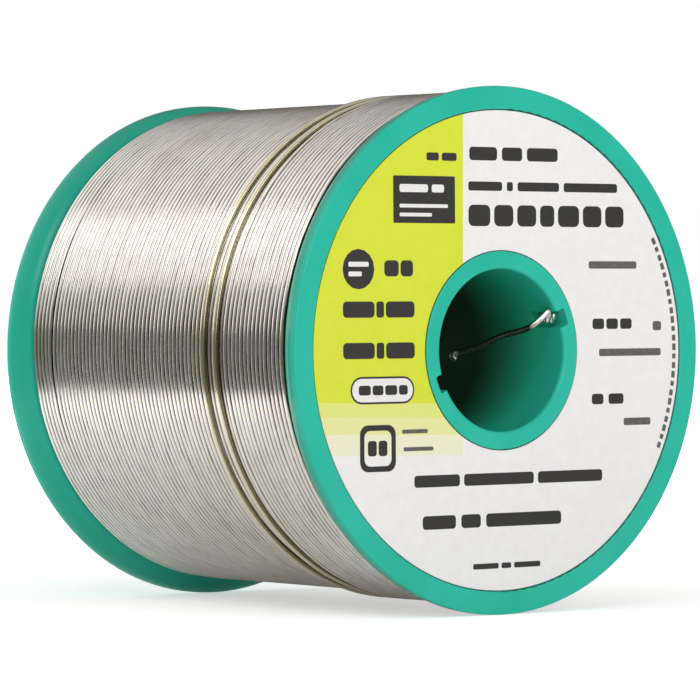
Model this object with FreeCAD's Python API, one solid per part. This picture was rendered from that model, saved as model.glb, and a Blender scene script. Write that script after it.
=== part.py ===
"""Solder wire reel: a moulded two-flange reel, its front label and the wire wound on it.

Lengths are millimetres. The reel's axis is Y, the labelled face looks along -Y, +Z is up
and the origin is the middle of the reel. Every solid is written to parts/NODE.step.
"""
import FreeCAD, Part
import math
import os

os.makedirs("parts", exist_ok=True)

Vector = FreeCAD.Vector
ORIGIN = Vector(0, 0, 0)
AXIS = Vector(0, 1, 0)

# Reel
FLANGE_R = 33.5
REEL_WIDTH = 62.4
FLANGE_T = 4.1
RIM_OUTER_ROUND = 0.2
RIM_INNER_ROUND = 3.4
BARREL_R = 12.7
BORE_R = 10.3
BORE_EDGE_ROUND = 0.5

# Label recess in each flange face, and the raised ring around the bore
RECESS_R = 30.5
RECESS_DEPTH = 0.3
RECESS_EDGE_ROUND = 0.28
HUB_FACE_R = 12.6
HUB_FACE_EDGE_ROUND = 0.2

# The front half's spigot sits in the rear half's socket, halfway along the barrel
SPIGOT_R = 11.55
SPIGOT_LENGTH = 5.0
SPIGOT_ROUND = 0.4
SPIGOT_CLEARANCE = 0.05
JOINT_EDGE_ROUND = 0.6

# Two opposite keyways at each end of the bore, and the hole for the wire's first end
KEYWAY_ANGLE = 22.5
KEYWAY_WIDTH = 2.25
KEYWAY_R = 11.5
KEYWAY_LENGTH = 5.4
KEYWAY_CORNER = 0.3
WIRE_HOLE_D = 1.2
WIRE_HOLE_Y = -26.4

# Label
LABEL_T = 0.12
LABEL_GAP = 0.1

# Wire
WIRE_D = 0.8
WIRE_PITCH = 0.83
FULL_LAYERS = 28
LAYER_GAP = 0.02
LAST_LAYER_END_Y = -17.3
LAST_TURNS_Y = [-15.9, -13.66, -11.0]

# The wire's first end: from the hole, along the keyway towards the front face, over a tight
# fold at the keyway's mouth and across the bore to a small hook
TAIL_POINTS = [
    Vector(11.72, -26.4, 4.85),
    Vector(10.25, -26.7, 4.28),
    Vector(10.15, -28.6, 4.2),
    Vector(9.75, -29.6, 4.55),
    Vector(8.9, -30.0, 4.55),
    Vector(8.2, -29.6, 3.9),
    Vector(7.4, -29.0, 3.1),
    Vector(6.2, -28.5, 2.55),
    Vector(4.4, -28.1, 2.3),
    Vector(2.2, -27.9, 1.85),
    Vector(-0.3, -27.8, 1.05),
    Vector(-2.5, -27.8, 0.3),
    Vector(-4.1, -27.9, -0.05),
    Vector(-5.1, -28.0, -0.25),
    Vector(-5.53, -28.1, -0.86),
    Vector(-5.23, -28.1, -1.5),
]
TAIL_ARC_SHARE = 0.45

# Worked out from the values above
HALF_WIDTH = REEL_WIDTH / 2
FLANGE_Y = HALF_WIDTH - FLANGE_T
RECESS_Y = HALF_WIDTH - RECESS_DEPTH
WIRE_R = WIRE_D / 2
LAYER_STEP = math.sqrt(WIRE_D ** 2 - (WIRE_PITCH / 2) ** 2)
FULL_R = BARREL_R + WIRE_D + (FULL_LAYERS - 1) * LAYER_STEP
LAST_TURN_R = FULL_R - WIRE_R + LAYER_STEP


def save(name, shape):
    """Write one closed node to its own STEP file."""
    if not shape.isValid() or not shape.Solids:
        raise ValueError(name + " is not a valid solid")
    shape.exportStep("parts/" + name + ".step")
    print(f"{name}: {shape.Volume:.1f} mm3")


def turned(corners):
    """Turn a closed outline about the reel's axis.

    Each corner is (radius, y, rounding radius); a rounding of 0 leaves the corner sharp.
    """
    edges = []
    runs = []
    for index, (radius, y, rounding) in enumerate(corners):
        here = Vector(radius, y, 0)
        before = Vector(*corners[index - 1][:2], 0)
        after = Vector(*corners[(index + 1) % len(corners)][:2], 0)
        if rounding == 0:
            runs.append((here, here))
            continue
        back = (before - here).normalize()
        ahead = (after - here).normalize()
        half_angle = back.getAngle(ahead) / 2
        reach = rounding / math.tan(half_angle)
        middle = (back + ahead).normalize() * (rounding / math.sin(half_angle) - rounding)
        start = here + back * reach
        end = here + ahead * reach
        edges.append(Part.Arc(start, here + middle, end).toShape())
        runs.append((start, end))
    for index, (start, _) in enumerate(runs):
        edges.append(Part.makeLine(runs[index - 1][1], start))
    wire = Part.Wire(Part.__sortEdges__(edges))
    return Part.Face(wire).revolve(ORIGIN, AXIS, 360)


def ring(inner_r, outer_r, y_low, y_high):
    """A plain ring about the reel's axis."""
    return turned([
        (inner_r, y_low, 0),
        (outer_r, y_low, 0),
        (outer_r, y_high, 0),
        (inner_r, y_high, 0),
    ])


def flange_outline(side):
    """Corners of one flange from the bore's mouth out over the rim to the barrel."""
    return [
        (BORE_R, side * HALF_WIDTH, BORE_EDGE_ROUND),
        (HUB_FACE_R, side * HALF_WIDTH, HUB_FACE_EDGE_ROUND),
        (HUB_FACE_R, side * RECESS_Y, 0),
        (RECESS_R, side * RECESS_Y, 0),
        (RECESS_R, side * HALF_WIDTH, RECESS_EDGE_ROUND),
        (FLANGE_R, side * HALF_WIDTH, RIM_OUTER_ROUND),
        (FLANGE_R, side * FLANGE_Y, RIM_INNER_ROUND),
        (BARREL_R, side * FLANGE_Y, 0),
        (BARREL_R, 0, 0),
    ]


def keyways(side):
    """Both opposite keyways at one end of the bore, as one bar across it."""
    bar = Part.makeBox(2 * KEYWAY_R, KEYWAY_LENGTH, KEYWAY_WIDTH)
    bar.translate(Vector(-KEYWAY_R, -KEYWAY_LENGTH / 2, -KEYWAY_WIDTH / 2))
    long_edges = [edge for edge in bar.Edges if abs(edge.tangentAt(edge.FirstParameter).y) > 0.9]
    bar = bar.makeFillet(KEYWAY_CORNER, long_edges)
    bar.rotate(ORIGIN, AXIS, -KEYWAY_ANGLE)
    bar.translate(AXIS * side * (HALF_WIDTH - KEYWAY_LENGTH / 2))
    return bar


def reel_front_half():
    """The labelled half of the reel, with the spigot and the hole for the wire's first end."""
    spigot = [
        (SPIGOT_R, 0, 0),
        (SPIGOT_R, SPIGOT_LENGTH, SPIGOT_ROUND),
        (BORE_R, SPIGOT_LENGTH, JOINT_EDGE_ROUND),
    ]
    half = turned(flange_outline(-1) + spigot)
    outwards = Vector(math.cos(math.radians(KEYWAY_ANGLE)), 0, math.sin(math.radians(KEYWAY_ANGLE)))
    hole_start = outwards * BORE_R * 0.9 + AXIS * WIRE_HOLE_Y
    wire_hole = Part.makeCylinder(WIRE_HOLE_D / 2, BARREL_R, hole_start, outwards)
    hollow = Part.makeCylinder(BARREL_R * 1.1, REEL_WIDTH, Vector(0, -HALF_WIDTH, 0), AXIS)
    return half.cut(keyways(-1)).cut(wire_hole.common(hollow))


def reel_rear_half():
    """The plain half of the reel, with the socket that takes the spigot."""
    socket_r = SPIGOT_R + SPIGOT_CLEARANCE
    socket_end = SPIGOT_LENGTH + 2 * SPIGOT_CLEARANCE
    socket = [
        (socket_r, 0, 0),
        (socket_r, socket_end, 0),
        (BORE_R, socket_end, JOINT_EDGE_ROUND),
    ]
    return turned(flange_outline(1) + socket).cut(keyways(1))


def front_label():
    """The paper ring in the front recess."""
    return ring(HUB_FACE_R + LABEL_GAP, RECESS_R - LABEL_GAP, -RECESS_Y - LABEL_T, -RECESS_Y)


def full_layer(number):
    """One layer of wire that runs from flange to flange, counted from the barrel."""
    centre_r = BARREL_R + WIRE_R + (number - 1) * LAYER_STEP
    inner_r = centre_r - LAYER_STEP / 2
    outer_r = centre_r + LAYER_STEP / 2
    if number == 1:
        inner_r = BARREL_R
    if number == FULL_LAYERS:
        outer_r = FULL_R
    end_y = FLANGE_Y - LAYER_GAP
    return ring(inner_r + LAYER_GAP / 2, outer_r - LAYER_GAP / 2, -end_y, end_y)


def last_layer():
    """The close turns of the unfinished outer layer, at the front flange."""
    return ring(FULL_R, LAST_TURN_R + WIRE_R, -FLANGE_Y + LAYER_GAP, LAST_LAYER_END_Y)


def last_turn(y):
    """One of the spaced turns beyond the unfinished layer, bedded on the full layer."""
    half_bed = math.sqrt(WIRE_R ** 2 - (LAST_TURN_R - FULL_R) ** 2)
    bed_start = Vector(FULL_R, y - half_bed, 0)
    bed_end = Vector(FULL_R, y + half_bed, 0)
    crown = Vector(LAST_TURN_R + WIRE_R, y, 0)
    edges = [Part.Arc(bed_start, crown, bed_end).toShape(), Part.makeLine(bed_end, bed_start)]
    return Part.Face(Part.Wire(edges)).revolve(ORIGIN, AXIS, 360)


def round_bar(points, diameter):
    """A round bar along straight runs joined by tangent arcs, printing each bend's radius."""
    starts = [points[0]]
    arcs = []
    length = 0
    for before, here, after in zip(points, points[1:], points[2:]):
        back = (before - here).normalize()
        ahead = (after - here).normalize()
        turn = math.pi - back.getAngle(ahead)
        shorter = min(before.distanceToPoint(here), here.distanceToPoint(after))
        radius = TAIL_ARC_SHARE * shorter / math.tan(turn / 2)
        reach = TAIL_ARC_SHARE * shorter
        middle = (back + ahead).normalize() * (radius / math.cos(turn / 2) - radius)
        start = here + back * reach
        end = here + ahead * reach
        arcs.append(Part.Arc(start, here + middle, end).toShape())
        length += radius * turn
        starts += [start, end]
        print(f"  bend of {math.degrees(turn):.0f} degrees, radius {radius:.2f} mm")
    starts.append(points[-1])
    edges = []
    for index in range(0, len(starts), 2):
        edges.append(Part.makeLine(starts[index], starts[index + 1]))
        length += starts[index].distanceToPoint(starts[index + 1])
        if index // 2 < len(arcs):
            edges.append(arcs[index // 2])
    section = Part.Wire(Part.makeCircle(diameter / 2, points[0], points[1] - points[0]))
    bar = Part.Wire(edges).makePipeShell([section], True, True)
    expected = math.pi * diameter ** 2 / 4 * length
    print(f"  length {length:.2f} mm, volume {bar.Volume:.3f} mm3, section times length {expected:.3f} mm3")
    return bar


save("reel_front_half", reel_front_half())
save("reel_rear_half", reel_rear_half())
save("front_label", front_label())
save("wire_first_end", round_bar(TAIL_POINTS, WIRE_D))
for layer in range(1, FULL_LAYERS + 1):
    save(f"wire_layer_{layer:02d}", full_layer(layer))
save("wire_last_layer", last_layer())
for turn_number, turn_y in enumerate(LAST_TURNS_Y, start=1):
    save(f"wire_last_turn_{turn_number}", last_turn(turn_y))
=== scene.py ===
"""Looks of the solder wire reel: the wound wire, its first end, the printed label, the
moulded plastic, and a plain studio. Lengths are metres, in the CAD model's frame: the
reel's axis is Y, the labelled face looks along -Y and +Z is up."""
import math

import bpy
import numpy as np
from mathutils import Euler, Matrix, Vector


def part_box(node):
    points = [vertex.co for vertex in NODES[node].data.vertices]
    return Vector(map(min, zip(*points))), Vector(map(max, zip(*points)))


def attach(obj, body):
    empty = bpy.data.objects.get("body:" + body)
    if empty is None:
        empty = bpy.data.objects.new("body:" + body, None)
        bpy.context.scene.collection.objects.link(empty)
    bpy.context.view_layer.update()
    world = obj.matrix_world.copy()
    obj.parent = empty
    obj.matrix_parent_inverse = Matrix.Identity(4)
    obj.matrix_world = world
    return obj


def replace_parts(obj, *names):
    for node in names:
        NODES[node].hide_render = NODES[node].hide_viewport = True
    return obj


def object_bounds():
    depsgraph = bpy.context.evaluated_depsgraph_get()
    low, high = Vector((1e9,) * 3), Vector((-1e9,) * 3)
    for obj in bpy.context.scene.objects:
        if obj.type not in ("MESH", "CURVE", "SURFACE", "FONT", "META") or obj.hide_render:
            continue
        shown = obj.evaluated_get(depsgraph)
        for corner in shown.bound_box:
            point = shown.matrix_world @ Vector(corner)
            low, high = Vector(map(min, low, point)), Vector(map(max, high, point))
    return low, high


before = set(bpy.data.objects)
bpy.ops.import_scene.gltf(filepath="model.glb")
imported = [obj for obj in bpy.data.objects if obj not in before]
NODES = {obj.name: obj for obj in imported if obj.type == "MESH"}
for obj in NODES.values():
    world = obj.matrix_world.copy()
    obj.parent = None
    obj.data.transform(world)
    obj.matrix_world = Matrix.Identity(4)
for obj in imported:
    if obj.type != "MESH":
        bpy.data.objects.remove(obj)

cad_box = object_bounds()

MM = 0.001

# Sizes read from the CAD model
HALF_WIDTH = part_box("reel_rear_half")[1].y
WIND_FRONT_Y, WIND_REAR_Y = (corner.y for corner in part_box("wire_layer_28"))
FULL_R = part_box("wire_layer_28")[1].x
LAST_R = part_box("wire_last_layer")[1].x
LAST_TURNS = [
    (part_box(f"wire_last_turn_{number}")[0].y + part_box(f"wire_last_turn_{number}")[1].y) / 2
    for number in (1, 2, 3)
]
LABEL_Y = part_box("front_label")[0].y

# Wire
WIRE_R = 0.4 * MM
WIRE_SIDES = 12
STEPS_PER_TURN = 120
PITCH = 0.83 * MM
WIND_SHIFT = (-0.15 * MM, 0.6 * MM)  # the outer turns lie off the reel's axis, in x and z,
SHIFT_SHARES = (0.55, 1.1)  # by these shares of it at the front and the rear flange
FLANGE_ROOM = 0.3 * MM  # the flanges' rounded inner edges let the outer turns spread

# Full layer: on the -X side its last turns lean on the rear flange and leave a narrow gap
GAP_TURNS = 5
GAP_PUSH = 0.2 * MM
GAP_PULL = 0.14 * MM
GAP_FADE = 4
GAP_ANGLE = math.radians(10)
GAP_SPREAD = math.radians(32)

# Last layer: close turns, then spaced ones that cross over on the +X side
CLOSE_TURNS = 14
CLOSE_PITCH = 2.006 * WIRE_R
CLOSE_END_Y = LAST_TURNS[0] - 0.85 * MM
FRONT_SPREAD = 0.22 * MM  # how far the first turns spread towards the front flange
FRONT_FADE = 2.5
CLIMB = 0.25  # turns in which the wire rises from the full layer to this one
CROSSING = 0.22  # half of each crossing, in turns
CROSSING_EASE = 0.1 * MM
SMOOTHING = 6
SPACED_LIFT = 0.04 * MM
TINTED_FROM = CLOSE_TURNS + 1
NO_TURN = 1000  # past every turn's number

# The wire's first end, in millimetres: from its hole, along the keyway, over a fold and
# across the bore
FIRST_END_POINTS = [
    (11.7, -26.4, 4.8),
    (10.6, -26.9, 4.4),
    (10.6, -29.2, 3.8),
    (9.9, -29.5, 4.9),
    (9.8, -29.3, 3.4),
    (9.1, -29.7, 4.7),
    (8.7, -29.5, 3.4),
    (8.6, -30.3, 5.3),
    (7.8, -30.0, 4.3),
    (7.1, -29.6, 3.6),
    (6.3, -29.1, 2.9),
    (4.9, -28.6, 2.4),
    (2.8, -28.3, 2.0),
    (1.1, -28.1, 1.4),
    (-1.1, -28.0, 0.5),
    (-3.5, -28.0, -0.1),
    (-4.6, -28.0, -0.3),
    (-5.7, -28.0, -0.5),
    (-5.8, -28.3, -0.9),
    (-5.6, -28.6, -1.2),
]
FIRST_END_SHADE_X = (6.0 * MM, 6.8 * MM)  # the first end is bright beyond these and darkened by painted shade before
# Painted shade at the first end's hook: a dim grey over this range of x
HOOK_X = (-5.6 * MM, -5.0 * MM)

# Plastic: ranges of depth below the nearer face, and of distance from the axis, that place the
# painted shade
BORE_SIDE_R = 12.3 * MM  # what lies nearer the axis is the bore, its keyways or its ring
# Painted shade inside the bore: it comes in over the first range of depth, then grows darker and
# greener over the second
BORE_ENTRY = (0.5 * MM, 4 * MM)
BORE_PAINTED_SHADE = (5 * MM, 17 * MM)
# Painted shade around the back of each rim
RIM_BAND_R = (31 * MM, 32.8 * MM)
RIM_BAND_DEPTH = (0.4 * MM, 1.2 * MM)
# Dark painted shade in the thin creases at these two distances from the axis, on each face
CREASE_RADII = (12.55 * MM, 30.55 * MM)
CREASE_HALF = 0.25 * MM
CREASE_DEPTH = (0.06 * MM, 0.16 * MM)

# Printed areas of the label
YELLOW_EDGE_X = -6.5 * MM
YELLOW_STEPS_Z = [-6.5 * MM, -8.3 * MM, -10.45 * MM]  # where they cross YELLOW_MIDDLE_X
YELLOW_END_Z = -13.0 * MM
YELLOW_MIDDLE_X = -20.0 * MM
YELLOW_SLOPE = -0.013
INK_T = 0.012 * MM
PRINT_TURN = math.radians(0.5)  # the label is stuck on a little off square
PRINT_SHIFT = (-0.25, -0.05)  # and off centre, in millimetres

# Studio
FLOOR_HALF = 3.0
CARD_R = 0.125
CARD_TOP = 0.01
CARD_FROM = 116
CARD_TO = 262
CARD_STEPS = 24
LIGHTS = [
    ("softbox_left", (-0.7, 0.1, 0.85), (1.4, 0.6), 0.4),
    ("softbox_front", (0.0, -1.05, 0.3), (1.0, 0.7), 5.2),
    ("softbox_side", (-0.7, -0.6, 0.6), (0.3, 0.5), 1.8),
]
CAMERA_LENS = 220.3
CAMERA_SHIFT = (0.0008, -0.00013)
CAMERA_PLACE = (-0.35363, -0.443, 0.00135)
CAMERA_TURN = (89.863, 0.0, -38.599)


def srgb(red, green, blue):
    """A colour given as 0-255 sRGB, as the linear RGBA that sockets take."""
    linear = []
    for value in (red, green, blue):
        share = value / 255
        linear.append(share / 12.92 if share <= 0.04045 else ((share + 0.055) / 1.055) ** 2.4)
    return (*linear, 1.0)


# ---------------------------------------------------------------- meshes

def add_mesh(name, vertices, faces, material, smooth=True):
    """A mesh object with one material."""
    mesh = bpy.data.meshes.new(name)
    mesh.from_pydata(vertices, [], faces)
    mesh.materials.append(material)
    if smooth:
        mesh.polygons.foreach_set("use_smooth", [True] * len(mesh.polygons))
    mesh.update()
    piece = bpy.data.objects.new(name, mesh)
    bpy.context.scene.collection.objects.link(piece)
    return piece


def wound_wire(name, turns, axial, radial, material):
    """Wire wound about the reel's axis, with flat cut ends.

    turns holds the places of its two ends, counted in turns, whole ones on the +X side.
    axial and radial give the y and the radius of the wire's centre for an array of places.
    """
    count = int((turns[1] - turns[0]) * STEPS_PER_TURN) + 1
    place = np.linspace(turns[0], turns[1], count)
    angle = 2 * math.pi * place
    ring = np.arange(WIRE_SIDES)
    side = ring / WIRE_SIDES - 0.5
    around = 2 * math.pi * side
    centre_y = axial(place)
    radius = radial(place)[:, None] + WIRE_R * np.cos(around)[None, :]
    y = centre_y[:, None] + WIRE_R * np.sin(around)[None, :]
    shift = np.interp(centre_y, [WIND_FRONT_Y, WIND_REAR_Y], SHIFT_SHARES)[:, None]
    x = radius * np.cos(angle)[:, None] + shift * WIND_SHIFT[0]
    z = radius * np.sin(angle)[:, None] + shift * WIND_SHIFT[1]
    vertices = np.stack([x, y, z], axis=2).reshape(-1, 3)
    start = np.arange(count - 1)[:, None] * WIRE_SIDES
    after = (ring + 1) % WIRE_SIDES
    corners = [start + ring, start + after, start + WIRE_SIDES + after, start + WIRE_SIDES + ring]
    faces = np.stack(corners, axis=2).reshape(-1, 4).tolist()
    faces.append(list(range(WIRE_SIDES))[::-1])
    faces.append(list(range((count - 1) * WIRE_SIDES, count * WIRE_SIDES)))
    piece = add_mesh(name, vertices.tolist(), faces, material)
    along = np.repeat(angle * FULL_R, WIRE_SIDES)
    turn = np.repeat(np.floor(place + 0.25), WIRE_SIDES)
    values = np.stack([along, np.tile(side, count), turn], axis=1).astype(np.float32).ravel()
    attribute = piece.data.attributes.new("wire_place", "FLOAT_VECTOR", "POINT")
    attribute.data.foreach_set("vector", values)
    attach(piece, "root")
    return piece


# ---------------------------------------------------------------- node helpers

def new_material(name):
    """A new node material, its tree and its Principled shader."""
    material = bpy.data.materials.new(name)
    material.use_nodes = True
    tree = material.node_tree
    return material, tree, tree.nodes["Principled BSDF"]


def add_node(tree, kind, **settings):
    node = tree.nodes.new(kind)
    for key, value in settings.items():
        setattr(node, key, value)
    return node


def object_place(tree):
    return add_node(tree, "ShaderNodeTexCoord").outputs["Object"]


def split(tree, vector):
    """A vector's components, by the names X, Y and Z."""
    node = add_node(tree, "ShaderNodeSeparateXYZ")
    tree.links.new(vector, node.inputs["Vector"])
    return node.outputs


def scaled(tree, vector, scale):
    node = add_node(tree, "ShaderNodeMapping")
    node.inputs["Scale"].default_value = scale
    tree.links.new(vector, node.inputs["Vector"])
    return node.outputs["Vector"]


def length(tree, vector):
    node = add_node(tree, "ShaderNodeVectorMath", operation="LENGTH")
    tree.links.new(vector, node.inputs[0])
    return node.outputs["Value"]


def noise(tree, vector, scale, detail=2.0, roughness=0.5):
    node = add_node(tree, "ShaderNodeTexNoise")
    node.inputs["Scale"].default_value = scale
    node.inputs["Detail"].default_value = detail
    node.inputs["Roughness"].default_value = roughness
    tree.links.new(vector, node.inputs["Vector"])
    return node.outputs["Fac"]


def ramp(tree, value, low, high, start, end):
    """value from low..high, mapped to start..end and clamped."""
    node = add_node(tree, "ShaderNodeMapRange")
    for key, number in (("From Min", low), ("From Max", high), ("To Min", start), ("To Max", end)):
        node.inputs[key].default_value = number
    tree.links.new(value, node.inputs["Value"])
    return node.outputs["Result"]


def maths(tree, operation, first, second=0.0):
    node = add_node(tree, "ShaderNodeMath", operation=operation)
    for socket, value in zip(node.inputs, (first, second)):
        if isinstance(value, (int, float)):
            socket.default_value = value
        else:
            tree.links.new(value, socket)
    return node.outputs["Value"]


def mix(tree, share, first, second, blend="MIX"):
    node = add_node(tree, "ShaderNodeMix", data_type="RGBA", blend_type=blend)
    for key, value in (("Factor", share), ("A", first), ("B", second)):
        if isinstance(value, (int, float, tuple)):
            node.inputs[key].default_value = value
        else:
            tree.links.new(value, node.inputs[key])
    return node.outputs["Result"]


def mottled(tree, pattern, first, second, low=0.3, high=0.7):
    """Two colours laid out by a noise pattern."""
    return mix(tree, ramp(tree, pattern, low, high, 0, 1), first, second)


def bump(tree, height, strength, distance):
    node = add_node(tree, "ShaderNodeBump")
    node.inputs["Strength"].default_value = strength
    node.inputs["Distance"].default_value = distance
    tree.links.new(height, node.inputs["Height"])
    return node.outputs["Normal"]


def set_surface(tree, shader, colour, roughness, normal=None, metallic=0.0):
    tree.links.new(colour, shader.inputs["Base Color"])
    tree.links.new(roughness, shader.inputs["Roughness"])
    if normal is not None:
        tree.links.new(normal, shader.inputs["Normal"])
    shader.inputs["Metallic"].default_value = metallic


# ---------------------------------------------------------------- materials

def plastic_material():
    """Teal moulded styrene: satin gloss and a faint flow mottle. Painted shade makes it greener and
    darker inside the bore, a little darker around the back of each rim and dark in the creases
    of each face."""
    material, tree, shader = new_material("teal_moulded_plastic")
    place = object_place(tree)
    colour = mottled(tree, noise(tree, place, 90, detail=3),
                     srgb(42, 183, 159), srgb(49, 190, 167), 0.35, 0.65)
    from_axis = length(tree, scaled(tree, place, (1, 0, 1)))
    from_middle = maths(tree, "ABSOLUTE", split(tree, place)["Y"])
    depth = maths(tree, "SUBTRACT", HALF_WIDTH, from_middle)
    # Painted shade inside the bore, darker and greener with depth
    bore_painted_shade = mix(tree, ramp(tree, depth, *BORE_PAINTED_SHADE, 0, 0.96),
                      srgb(48, 190, 155), srgb(34, 60, 34))
    in_bore = maths(tree, "MULTIPLY", maths(tree, "LESS_THAN", from_axis, BORE_SIDE_R),
                    ramp(tree, depth, *BORE_ENTRY, 0, 1))
    colour = mix(tree, in_bore, colour, bore_painted_shade)
    # Painted shade: the rounded back of each rim is darkened
    rim_painted_shade = maths(tree, "MULTIPLY", ramp(tree, from_axis, *RIM_BAND_R, 0, 0.6),
                     ramp(tree, depth, *RIM_BAND_DEPTH, 0, 1))
    colour = mix(tree, rim_painted_shade, colour, srgb(32, 152, 124))
    # Dark painted shade in the creases round the label's edges and the hub ring
    below_face = ramp(tree, depth, *CREASE_DEPTH, 0, 0.8)
    for radius in CREASE_RADII:
        away = maths(tree, "ABSOLUTE", maths(tree, "SUBTRACT", from_axis, radius))
        crease_painted_shade = maths(tree, "MULTIPLY", below_face, maths(tree, "LESS_THAN", away, CREASE_HALF))
        colour = mix(tree, crease_painted_shade, colour, srgb(14, 84, 70))
    grain = noise(tree, place, 900, detail=3)
    set_surface(tree, shader, colour, ramp(tree, grain, 0.3, 0.7, 0.2, 0.24),
                bump(tree, grain, 0.05, 0.00003))
    shader.inputs["IOR"].default_value = 1.46
    shader.inputs["Specular IOR Level"].default_value = 0.22
    return material


def solder_material(name, tinted_from=NO_TURN):
    """Bright drawn solder, with painted shade that darkens the flanks of each turn towards the
    grooves and leaves its crown bright, and with streaks along the wire and turn-to-turn tone.
    Turns from number tinted_from on are creamy, with paler painted shade on their flanks."""
    material, tree, shader = new_material(name)
    wire = add_node(tree, "ShaderNodeAttribute", attribute_name="wire_place").outputs["Vector"]
    parts = split(tree, wire)
    side, turn = parts["Y"], parts["Z"]
    height = maths(tree, "COSINE", maths(tree, "MULTIPLY", side, 2 * math.pi))
    streak = noise(tree, scaled(tree, wire, (320, 9, 3.7)), 1, detail=3, roughness=0.6)
    tone = noise(tree, scaled(tree, wire, (35, 0, 5.3)), 1, detail=2)
    patch = noise(tree, object_place(tree), 130, detail=3)
    edge = maths(tree, "ADD", height, ramp(tree, streak, 0.3, 0.7, -0.12, 0.12))
    # Painted shade: each turn's flanks darken towards the grooves between turns, while the crown
    # stays bright
    flank_painted_shade = ramp(tree, edge, 0.4, 0.84, 1, 0)
    bright = mix(tree, ramp(tree, tone, 0.3, 0.7, 0, 0.5), srgb(246, 242, 236), srgb(226, 221, 211))
    bright = mix(tree, ramp(tree, patch, 0.5, 0.75, 0, 0.3), bright, srgb(196, 188, 168))
    plain = mix(tree, flank_painted_shade, bright, srgb(78, 75, 68))
    creamy = mix(tree, flank_painted_shade, srgb(238, 232, 214), srgb(192, 183, 150))
    colour = mix(tree, ramp(tree, turn, tinted_from - 0.5, tinted_from, 0, 1), plain, creamy)
    set_surface(tree, shader, colour, ramp(tree, streak, 0.3, 0.7, 0.13, 0.2),
                bump(tree, streak, 0.06, 0.00003), metallic=1.0)
    return material


def plain_solder_material():
    """Solder on pieces that hold no wire coordinates."""
    material, tree, shader = new_material("solder_bare")
    place = object_place(tree)
    grain = noise(tree, place, 2500, detail=3)
    patch = noise(tree, place, 300, detail=2)
    colour = mottled(tree, patch, srgb(222, 219, 213), srgb(186, 180, 166), 0.35)
    set_surface(tree, shader, colour, ramp(tree, grain, 0.3, 0.7, 0.16, 0.32),
                bump(tree, grain, 0.3, 0.00003), metallic=1.0)
    return material


def first_end_material():
    """The wire's first end: bright by its keyway, with painted shade that makes it dark across
    the bore and a dim grey at its hook."""
    material, tree, shader = new_material("solder_first_end")
    place = object_place(tree)
    across = split(tree, place)["X"]
    grain = noise(tree, place, 2500, detail=3)
    bright = mottled(tree, grain, srgb(232, 229, 223), srgb(190, 185, 172), 0.35)
    dark = mottled(tree, grain, srgb(22, 30, 24), srgb(40, 46, 38), 0.35)
    # Painted shade: dark across the bore and a dim grey at the hook
    first_end_painted_shade = mix(tree, ramp(tree, across, *HOOK_X, 1, 0), dark, srgb(120, 122, 116))
    colour = mix(tree, ramp(tree, across, *FIRST_END_SHADE_X, 1, 0), bright, first_end_painted_shade)
    set_surface(tree, shader, colour, ramp(tree, grain, 0.3, 0.7, 0.16, 0.32),
                bump(tree, grain, 0.3, 0.00003), metallic=1.0)
    return material


def label_material():
    """Coated paper printed yellow-green on the left, fading down in three steps."""
    material, tree, shader = new_material("label_paper")
    place = object_place(tree)
    parts = split(tree, place)
    across, up = parts["X"], parts["Z"]
    from_middle = maths(tree, "SUBTRACT", across, YELLOW_MIDDLE_X)
    level = maths(tree, "SUBTRACT", up, maths(tree, "MULTIPLY", from_middle, YELLOW_SLOPE))
    fibre = noise(tree, place, 700, detail=4, roughness=0.65)
    paper = mottled(tree, fibre, srgb(238, 235, 235), srgb(243, 241, 240))
    printed = mottled(tree, fibre, srgb(214, 224, 44), srgb(219, 228, 52))
    tones = (srgb(227, 231, 128), srgb(232, 233, 161), srgb(238, 237, 206))
    for height, tone in zip(YELLOW_STEPS_Z, tones):
        printed = mix(tree, maths(tree, "LESS_THAN", level, height), printed, tone)
    left = maths(tree, "LESS_THAN", across, YELLOW_EDGE_X)
    above = maths(tree, "GREATER_THAN", level, YELLOW_END_Z)
    colour = mix(tree, maths(tree, "MULTIPLY", left, above), paper, printed)
    set_surface(tree, shader, colour, ramp(tree, fibre, 0.3, 0.7, 0.42, 0.55),
                bump(tree, fibre, 0.15, 0.00004))
    return material


def ink_material(name, light, dark):
    """Printing ink with slightly uneven cover."""
    material, tree, shader = new_material(name)
    cover = noise(tree, object_place(tree), 1800, detail=3)
    colour = mottled(tree, cover, srgb(*dark), srgb(*light), 0.35)
    set_surface(tree, shader, colour, ramp(tree, cover, 0.3, 0.7, 0.4, 0.5))
    return material


# ---------------------------------------------------------------- wound wire

def wobble(seed, turns, size):
    """A random offset along the winding, a few bends to each turn."""
    knots = np.arange(math.floor(turns[0]) - 1, math.ceil(turns[1]) + 2, 0.29)
    values = np.random.RandomState(seed).normal(0, size, len(knots))

    def offset(place):
        return np.interp(place, knots, values)

    return offset


def per_turn(seed, count, size):
    """A random offset for each turn, which changes over to the next one just past +X."""
    values = np.random.RandomState(seed).normal(0, size, count + 2)

    def offset(place):
        whole = np.floor(place)
        share = np.clip((place - whole) / 0.2, 0, 1)
        index = np.clip(whole.astype(int), 0, count)
        return values[index] * (1 - share) + values[index + 1] * share

    return offset


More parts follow.
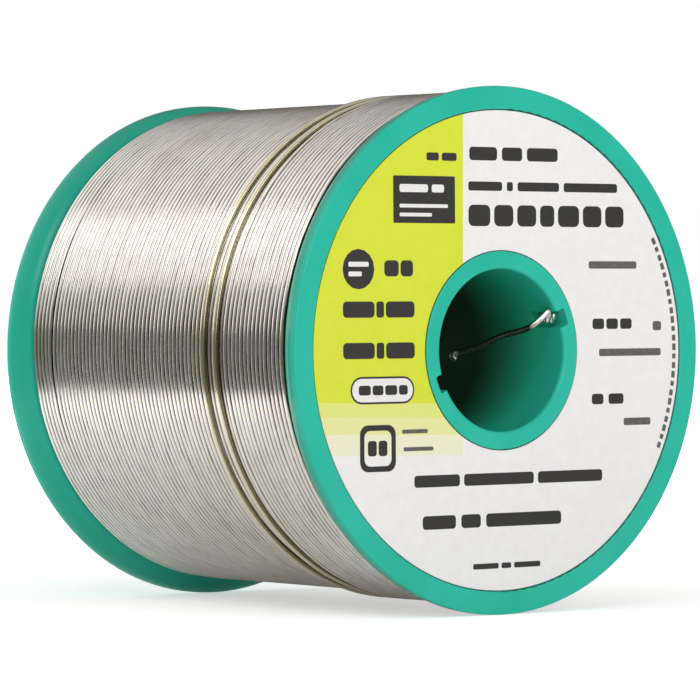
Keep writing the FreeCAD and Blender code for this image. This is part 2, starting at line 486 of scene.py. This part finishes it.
def full_layer(material):
    """The outer full layer, from the front flange to the rear one."""
    first_y = WIND_FRONT_Y + WIRE_R - FLANGE_ROOM
    last_y = WIND_REAR_Y - WIRE_R + FLANGE_ROOM
    turns = (0.0, (last_y - first_y) / PITCH)
    drift = per_turn(3, int(turns[1]) + 1, 0.007 * MM)
    lift = per_turn(4, int(turns[1]) + 1, 0.007 * MM)
    wander = wobble(5, turns, 0.005 * MM)

    def axial(place):
        angle = 2 * math.pi * (place - np.floor(place)) - math.pi
        patch = np.exp(-((angle + GAP_ANGLE) / GAP_SPREAD) ** 2)
        from_rear = turns[1] - place
        pulled = -GAP_PULL * np.exp(-(from_rear - GAP_TURNS) / GAP_FADE)
        pushed = np.where(from_rear < GAP_TURNS, GAP_PUSH, pulled)
        return first_y + PITCH * place + drift(place) + wander(place) + pushed * patch

    def radial(place):
        return FULL_R - WIRE_R + lift(place)

    return wound_wire("wound_full_layer", turns, axial, radial, material)


def last_layer(material):
    """The unfinished outer layer: close turns at the front flange, then three spaced ones."""
    turns = (0.05, CLOSE_TURNS + 2.9)
    stops = [(CLOSE_TURNS - 0.5, CLOSE_END_Y)]
    before = CLOSE_END_Y
    for crossing, y in enumerate(LAST_TURNS, start=CLOSE_TURNS):
        stops.append((crossing - CROSSING, before + CROSSING_EASE))
        stops.append((crossing + CROSSING, y - CROSSING_EASE))
        stops.append((crossing + 0.5, y))
        before = y
    stops.append((turns[1] + 0.1, before + 0.15 * MM))
    keys, values = zip(*stops)
    wander = wobble(6, turns, 0.008 * MM)
    drift = per_turn(7, CLOSE_TURNS + 4, 0.006 * MM)
    lift = per_turn(8, CLOSE_TURNS + 4, 0.007 * MM)

    def axial(place):
        spread = FRONT_SPREAD * np.exp(-place / FRONT_FADE)
        close_y = CLOSE_END_Y + CLOSE_PITCH * (place - CLOSE_TURNS + 0.5) - spread
        spaced_y = np.pad(np.interp(place, keys, values), SMOOTHING, mode="edge")
        window = 2 * SMOOTHING + 1
        spaced_y = np.convolve(spaced_y, np.ones(window) / window, mode="valid")
        return np.where(place < CLOSE_TURNS - 0.5, close_y, spaced_y) + wander(place) + drift(place)

    def radial(place):
        rise = np.clip(place / CLIMB, 0, 1)
        height = (LAST_R - FULL_R) * rise * rise * (3 - 2 * rise)
        proud = np.where(place > CLOSE_TURNS + 0.05, SPACED_LIFT, 0)
        return FULL_R - WIRE_R + height + lift(place) + proud

    return wound_wire("wound_last_layer", turns, axial, radial, material)


def first_end(material):
    """The wire's bare first end as one smooth round bar."""
    curve = bpy.data.curves.new("wire_first_end_bar", "CURVE")
    curve.dimensions = "3D"
    spline = curve.splines.new("NURBS")
    spline.points.add(len(FIRST_END_POINTS) - 1)
    for point, place in zip(spline.points, FIRST_END_POINTS):
        point.co = (*(Vector(place) * MM), 1)
    spline.order_u = 3
    spline.use_endpoint_u = True
    spline.resolution_u = 10
    curve.bevel_depth = WIRE_R
    curve.bevel_resolution = 5
    curve.use_fill_caps = True
    curve.materials.append(material)
    piece = bpy.data.objects.new("wire_first_end_bar", curve)
    bpy.context.scene.collection.objects.link(piece)
    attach(piece, "root")
    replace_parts(piece, "wire_first_end")
    return piece


# ---------------------------------------------------------------- printed marks

def rounded(x, z, width, height, rounding, turn=0.0):
    """The outline of a rounded rectangle centred on (x, z)."""
    points = []
    for corner in range(4):
        centre_x = (width / 2 - rounding) * (1, -1, -1, 1)[corner]
        centre_z = (height / 2 - rounding) * (1, 1, -1, -1)[corner]
        for step in range(5):
            angle = math.pi / 2 * (corner + step / 4)
            local_x = centre_x + rounding * math.cos(angle)
            local_z = centre_z + rounding * math.sin(angle)
            points.append((
                x + local_x * math.cos(turn) - local_z * math.sin(turn),
                z + local_x * math.sin(turn) + local_z * math.cos(turn),
            ))
    return points


class Print:
    """Flat marks of one ink, gathered into one mesh on the label's face."""

    def __init__(self, layer):
        self.low = LABEL_Y - INK_T * (layer - 0.5)
        self.high = LABEL_Y - INK_T * layer
        self.vertices = []
        self.faces = []

    def add_loops(self, points):
        """The lower and upper copies of an outline of (x, z) points in millimetres."""
        start = len(self.vertices)
        cos, sin = math.cos(PRINT_TURN), math.sin(PRINT_TURN)
        for y in (self.low, self.high):
            for x, z in points:
                turned_x = x * cos - z * sin + PRINT_SHIFT[0]
                turned_z = x * sin + z * cos + PRINT_SHIFT[1]
                self.vertices.append((turned_x * MM, y, turned_z * MM))
        return start

    def add_band(self, first, second, count):
        """Quads from one loop of vertices to another."""
        for index in range(count):
            after = (index + 1) % count
            self.faces.append([first + after, first + index, second + index, second + after])

    def add_outline(self, points):
        """A thin solid body with this outline."""
        count = len(points)
        start = self.add_loops(points)
        self.faces.append([start + index for index in range(count)])
        self.faces.append([start + count + index for index in reversed(range(count))])
        self.add_band(start, start + count, count)

    def frame(self, x, z, width, height, band, rounding):
        """A rounded square drawn as an outline of this band width."""
        outer = rounded(x, z, width, height, rounding)
        inner = rounded(x, z, width - 2 * band, height - 2 * band, rounding - band / 2)
        count = len(outer)
        outside, inside = self.add_loops(outer), self.add_loops(inner)
        self.add_band(outside, outside + count, count)
        self.add_band(inside + count, inside, count)
        self.add_band(outside + count, inside + count, count)
        self.add_band(inside, outside, count)

    def bar(self, x, z, width, height, rounding=None, turn=0.0):
        """A rounded bar centred on (x, z) in millimetres."""
        rounding = min(width, height) * 0.28 if rounding is None else rounding
        self.add_outline(rounded(x, z, width, height, rounding, turn))

    def words(self, left, z, height, widths, gap):
        """A row of bars that stands for a line of print."""
        for width in widths:
            self.bar(left + width / 2, z, width, height)
            left += width + gap

    def build(self, name, material):
        """The marks as one piece of the label."""
        piece = add_mesh(name, self.vertices, self.faces, material, smooth=False)
        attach(piece, "root")
        return piece


def label_print(black, grey, white):
    """Generic marks in place of the label's lettering: bars, a disc, a pill and a square."""
    under = Print(1)
    faint = Print(1)
    over = Print(2)
    top = Print(3)
    # Heading lines, right of the coloured edge
    under.words(-5.0, 24.9, 1.7, [4.6, 3.4, 5.2], 0.8)
    under.words(-5.2, 20.8, 1.15, [5.6, 1.0, 7.0, 9.2], 0.8)
    under.words(-5.2, 17.1, 2.7, [3.6, 3.2, 3.2, 2.4, 3.6, 3.2, 3.2], 0.65)
    # Small line and plate on the coloured side
    under.words(-12.0, 24.4, 1.0, [2.0, 2.4], 0.5)
    under.bar(-12.4, 19.0, 10.0, 5.9, 0.15)
    over.words(-16.4, 20.4, 1.0, [4.6, 2.0], 0.6)
    over.words(-16.4, 18.2, 0.45, [7.8], 0.5)
    over.words(-16.4, 17.1, 0.45, [5.2], 0.5)
    # Three large rows, the first led by a disc
    under.bar(-23.0, 10.3, 5.0, 5.0, 2.5)
    over.words(-24.6, 10.9, 0.6, [3.2], 0.4)
    over.words(-24.6, 9.7, 0.6, [2.1], 0.4)
    under.words(-18.9, 10.4, 2.0, [2.3, 2.0], 0.3)
    for z in (5.3, 0.2):
        under.words(-25.5, z, 2.0, [5.0, 1.2, 4.6], 0.3)
    # White pill with a black edge
    under.bar(-19.3, -4.7, 10.2, 3.4, 1.7)
    over.bar(-19.3, -4.7, 9.7, 2.9, 1.45)
    top.words(-23.1, -4.7, 1.2, [1.9, 1.7, 1.9, 1.4], 0.3)
    # Square mark and two small lines
    under.frame(-20.1, -11.9, 5.7, 5.8, 0.7, 1.2)
    under.words(-21.7, -11.9, 1.9, [1.4, 1.4], 0.3)
    faint.words(-16.2, -9.9, 0.5, [4.1], 0.3)
    faint.words(-16.0, -12.1, 0.5, [4.8], 0.3)
    # Figures at the right
    faint.words(15.0, 10.9, 0.95, [8.3], 0.5)
    under.words(15.6, 3.3, 1.35, [2.0, 2.0, 2.0], 0.4)
    faint.words(26.1, 3.0, 1.2, [1.5], 0.4)
    faint.words(16.7, -0.4, 0.95, [10.8], 0.5)
    under.words(15.4, -6.4, 1.35, [2.0, 2.6], 0.9)
    faint.words(20.9, -9.4, 0.95, [4.7], 0.4)
    # Lines below the bore
    under.words(-14.3, -16.2, 1.5, [7.4, 11.6, 11.0], 0.7)
    under.words(-13.0, -21.4, 1.7, [5.4, 3.2, 12.6], 0.9)
    under.words(-4.8, -27.2, 0.7, [4.2, 1.6, 4.4], 0.5)
    # Fine line along the right edge
    for step in range(24):
        angle = math.radians(28 - step * 2.3)
        mark = (0.9, 0.65, 0.8)[step % 3]
        faint.bar(29.85 * math.cos(angle), 29.85 * math.sin(angle), 0.6, mark, 0.12, angle)
    under.build("label_marks_black", black)
    faint.build("label_marks_grey", grey)
    over.build("label_marks_white", white)
    top.build("label_marks_top", black)


# ---------------------------------------------------------------- studio

def area_light(name, place, size, power):
    """A rectangular light that faces the reel."""
    data = bpy.data.lights.new(name, "AREA")
    data.shape = "RECTANGLE"
    data.size, data.size_y = size
    data.energy = power
    lamp = bpy.data.objects.new(name, data)
    lamp.location = place
    lamp.rotation_euler = (-Vector(place)).to_track_quat("-Z", "Y").to_euler()
    bpy.context.scene.collection.objects.link(lamp)


def studio_floor():
    """A white floor that glows more with distance from the reel. To the camera its far part is
    pure white like the backdrop; as a source of light it is brighter behind than in front."""
    material, tree, shader = new_material("studio_floor")
    place = object_place(tree)
    tone = noise(tree, place, 6, detail=2)
    colour = mottled(tree, tone, (0.86, 0.86, 0.86, 1), (0.88, 0.88, 0.88, 1))
    tree.links.new(colour, shader.inputs["Base Color"])
    shader.inputs["Roughness"].default_value = 0.9
    reach = length(tree, place)
    back = split(tree, place)["Y"]
    seen = ramp(tree, reach, 0.035, 0.2, 0.5, 1.0)
    source = maths(tree, "MULTIPLY", ramp(tree, reach, 0.04, 0.15, 0.08, 1),
                   ramp(tree, back, -0.08, 0.07, 0.4, 1.6))
    camera_ray = add_node(tree, "ShaderNodeLightPath").outputs["Is Camera Ray"]
    other_ray = maths(tree, "SUBTRACT", 1, camera_ray)
    glow = maths(tree, "ADD", maths(tree, "MULTIPLY", camera_ray, seen),
                 maths(tree, "MULTIPLY", other_ray, source))
    tree.links.new(glow, shader.inputs["Emission Strength"])
    shader.inputs["Emission Color"].default_value = (1, 1, 1, 1)
    low = cad_box[0].z
    corners = [
        (-FLOOR_HALF, -FLOOR_HALF, low),
        (FLOOR_HALF, -FLOOR_HALF, low),
        (FLOOR_HALF, FLOOR_HALF, low),
        (-FLOOR_HALF, FLOOR_HALF, low),
    ]
    floor = add_mesh("studio_floor", corners, [(0, 1, 2, 3)], material, smooth=False)


def studio_world():
    """White to the camera. For reflections: bright high up and to the left behind, a brighter
    strip low down behind, and dark low down elsewhere. Half as bright for diffuse light."""
    world = bpy.data.worlds.new("studio")
    world.use_nodes = True
    tree = world.node_tree
    background = tree.nodes["Background"]
    direction = add_node(tree, "ShaderNodeTexCoord").outputs["Generated"]
    parts = split(tree, direction)
    right, back, up = parts["X"], parts["Y"], parts["Z"]
    front_sky = mix(tree, ramp(tree, up, 0.1, 0.5, 0, 1),
                    (0.1, 0.095, 0.08, 1), (0.65, 0.65, 0.64, 1))
    tent = maths(tree, "MULTIPLY", ramp(tree, up, 0.04, 0.36, 0, 1),
                 ramp(tree, right, -0.2, 0.42, 1, 0.05))
    back_sky = mix(tree, tent, (0.13, 0.125, 0.112, 1), (1.12, 1.11, 1.08, 1))
    sky = mix(tree, ramp(tree, back, 0.0, 0.4, 0, 1), front_sky, back_sky)
    strip = maths(tree, "MULTIPLY", ramp(tree, back, 0.72, 0.86, 0, 1),
                  ramp(tree, up, 0.1, 0.3, 1, 0))
    glow = mix(tree, strip, sky, (1.7, 1.68, 1.6, 1))
    ray = add_node(tree, "ShaderNodeLightPath").outputs
    soft = mix(tree, ray["Is Diffuse Ray"], (1, 1, 1, 1), (0.5, 0.5, 0.5, 1))
    glow = mix(tree, 1.0, glow, soft, blend="MULTIPLY")
    seen = mix(tree, ray["Is Camera Ray"], glow, (1, 1, 1, 1))
    tree.links.new(seen, background.inputs["Color"])
    background.inputs["Strength"].default_value = 1.0
    bpy.context.scene.world = world


def dark_card():
    """A low dark screen around the reel's left, seen only in reflections."""
    material, tree, shader = new_material("dark_card")
    tone = noise(tree, object_place(tree), 20, detail=2)
    colour = mix(tree, tone, (0.2, 0.195, 0.178, 1), (0.24, 0.235, 0.215, 1))
    tree.links.new(colour, shader.inputs["Base Color"])
    shader.inputs["Roughness"].default_value = 0.9
    vertices = []
    for step in range(CARD_STEPS + 1):
        angle = math.radians(CARD_FROM + (CARD_TO - CARD_FROM) * step / CARD_STEPS)
        x, y = CARD_R * math.cos(angle), CARD_R * math.sin(angle)
        vertices += [(x, y, cad_box[0].z), (x, y, CARD_TOP)]
    faces = [(2 * step, 2 * step + 2, 2 * step + 3, 2 * step + 1) for step in range(CARD_STEPS)]
    card = add_mesh("dark_card", vertices, faces, material)
    card.visible_camera = False
    card.visible_diffuse = False
    card.visible_shadow = False


def camera():
    """Level with the reel, to the left of its labelled face, with a long lens."""
    data = bpy.data.cameras.new("camera")
    data.sensor_width = 36
    data.lens = CAMERA_LENS
    data.shift_x, data.shift_y = CAMERA_SHIFT
    data.clip_start = 0.01
    data.clip_end = 20
    view = bpy.data.objects.new("camera", data)
    view.location = CAMERA_PLACE
    view.rotation_euler = Euler([math.radians(angle) for angle in CAMERA_TURN])
    bpy.context.scene.collection.objects.link(view)
    bpy.context.scene.camera = view


def reel():
    """Materials for the CAD model's nodes, and the pieces that stand for the visible wire."""
    plastic = plastic_material()
    solder = solder_material("solder_wound")
    last_solder = solder_material("solder_last_turns", TINTED_FROM)
    bare = plain_solder_material()
    label = label_material()
    black = ink_material("ink_black", (40, 37, 35), (31, 29, 28))
    grey = ink_material("ink_grey", (104, 100, 98), (84, 80, 79))
    white = ink_material("ink_white", (240, 238, 237), (234, 232, 231))
    for name, node in NODES.items():
        material = plastic if name.startswith("reel") else bare
        if name == "front_label":
            material = label
        node.data.materials.clear()
        node.data.materials.append(material)
    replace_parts(full_layer(solder), "wire_layer_28", "wire_layer_27")
    last = last_layer(last_solder)
    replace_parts(last, "wire_last_layer", *(f"wire_last_turn_{number}" for number in (1, 2, 3)))
    first_end(first_end_material())
    label_print(black, grey, white)


reel()
camera()
studio_floor()
studio_world()
dark_card()
for light in LIGHTS:
    area_light(*light)
bpy.context.scene.view_settings.view_transform = "Standard"
